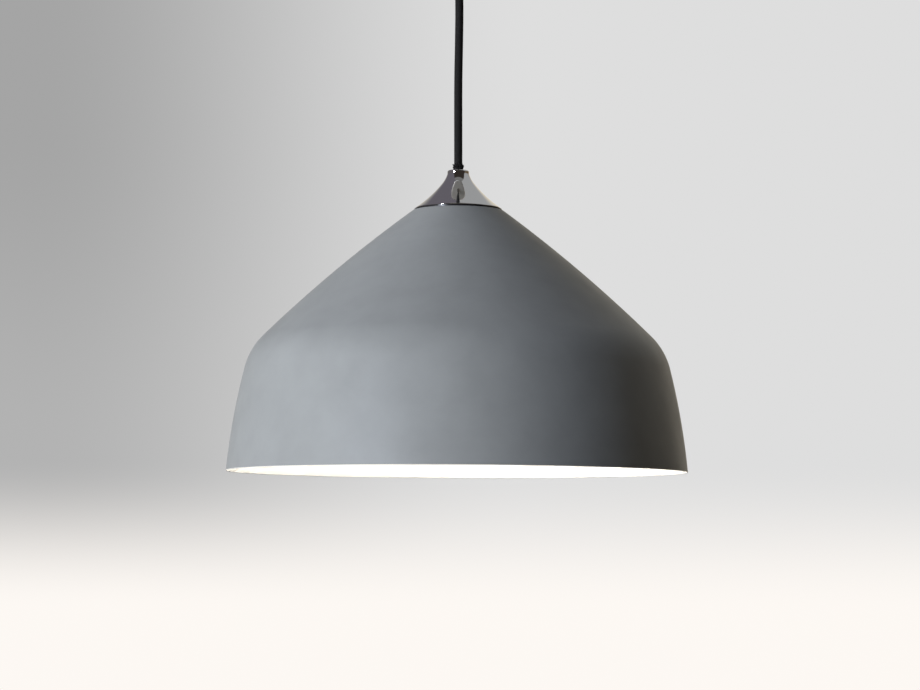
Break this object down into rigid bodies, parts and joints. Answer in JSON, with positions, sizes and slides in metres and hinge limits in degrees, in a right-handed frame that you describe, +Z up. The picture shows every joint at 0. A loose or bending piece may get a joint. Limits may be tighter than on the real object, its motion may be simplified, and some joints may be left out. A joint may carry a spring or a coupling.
{
  "type": "pendant lamp",
  "caption": "Ceiling pendant with a wide grey metal dome shade, a chrome trumpet cap, a black textile cable, a ceiling rose and a screw-in bulb.",
  "frame": {"origin": "middle of the ceiling rose's mounting face, between its two slots", "axes": "+Z up into the ceiling, +X along the line of the two slots; the lamp hangs along -Z"},
  "size_m": [0.38, 0.38, 0.4398],
  "materials": {
    "grey_powder_coat": "matte",
    "white_powder_coat": "satin",
    "chrome": "polished",
    "zinc_steel": "satin",
    "brass": "satin",
    "black_textile": "matte",
    "black_rubber": "matte",
    "white_nylon": "satin",
    "clear_nylon": "satin",
    "black_phenolic": "satin",
    "white_ceramic": "gloss",
    "live_insulation": "satin",
    "neutral_insulation": "satin",
    "earth_insulation": "satin",
    "solder_tip": "satin",
    "nickel_plate": "polished",
    "black_glass": "gloss",
    "white_plastic": "satin",
    "opal_globe": "satin",
    "led_board": "matte",
    "bare_aluminium": "satin",
    "circuit_board": "satin"
  },
  "bodies": {
    "ceiling_rose": {"ceiling_bracket": "zinc_steel", "ceiling_canopy": "white_powder_coat", "canopy_side_screws": "chrome", "bracket_earth_screw": "brass", "ceiling_grip_body": "chrome", "ceiling_grip_liner": "clear_nylon", "ceiling_grip_nut": "zinc_steel", "ceiling_grip_screw": "chrome", "terminal_block": "white_nylon", "terminal_sleeves": "brass", "terminal_screws": "zinc_steel", "block_screw": "zinc_steel", "rose_core_earth": "earth_insulation", "rose_core_live": "live_insulation", "rose_core_neutral": "neutral_insulation"},
    "cable_end": {"cable_top": "black_textile"},
    "pendant": {"cable": "black_textile", "shade": "grey_powder_coat", "cap_gasket": "black_rubber", "nipple": "zinc_steel", "nipple_nut": "zinc_steel", "holder_lock_nut": "zinc_steel", "earth_tag": "brass", "holder_grip": "white_nylon", "holder_grip_screw": "zinc_steel", "holder_dome": "black_phenolic", "holder_skirt": "black_phenolic", "holder_insert": "white_ceramic", "thread_shell": "brass", "centre_contact": "brass", "side_contact": "brass", "holder_terminals": "brass", "holder_terminal_screws": "zinc_steel", "head_core_live": "live_insulation", "head_core_neutral": "neutral_insulation", "head_core_earth": "earth_insulation"},
    "cap": {"chrome_cap": "chrome", "cap_bush": "black_rubber"},
    "bulb_tip": {"bulb_tip_contact": "solder_tip"},
    "bulb": {"bulb_screw_cap": "nickel_plate", "bulb_insulator": "black_glass", "bulb_housing": "white_plastic", "bulb_globe": "opal_globe", "bulb_led_board": "led_board", "bulb_heat_spreader": "bare_aluminium", "bulb_driver_board": "circuit_board"}
  },
  "joints": [
    {"name": "cable_twist", "type": "hinge", "parent": "ceiling_rose", "child": "cable_end", "pos_m": [0, 0, -0.042], "axis": [0, 0, 1], "range_deg": [-90, 90], "stiffness_Nm_per_rad": 0.01},
    {"name": "pendant_swing", "type": "hinge", "parent": "cable_end", "child": "pendant", "pos_m": [0, 0, -0.042], "axis": [0, 1, 0], "range_deg": [-15, 15]},
    {"name": "cap_slide", "type": "slide", "parent": "pendant", "child": "cap", "axis": [0, 0, 1], "range_m": [0, 0.14]},
    {"name": "bulb_travel", "type": "slide", "parent": "pendant", "child": "bulb_tip", "axis": [0, 0, -1], "range_m": [0, 0.01448]},
    {"name": "bulb_turn", "type": "hinge", "parent": "bulb_tip", "child": "bulb", "pos_m": [0, 0, -0.2536], "axis": [0, 0, -1], "range_deg": [0, 1440]}
  ],
  "couplings": [
    {"joint": "bulb_turn", "follows": "bulb_travel", "rad_per_m": 1735.7}
  ]
}
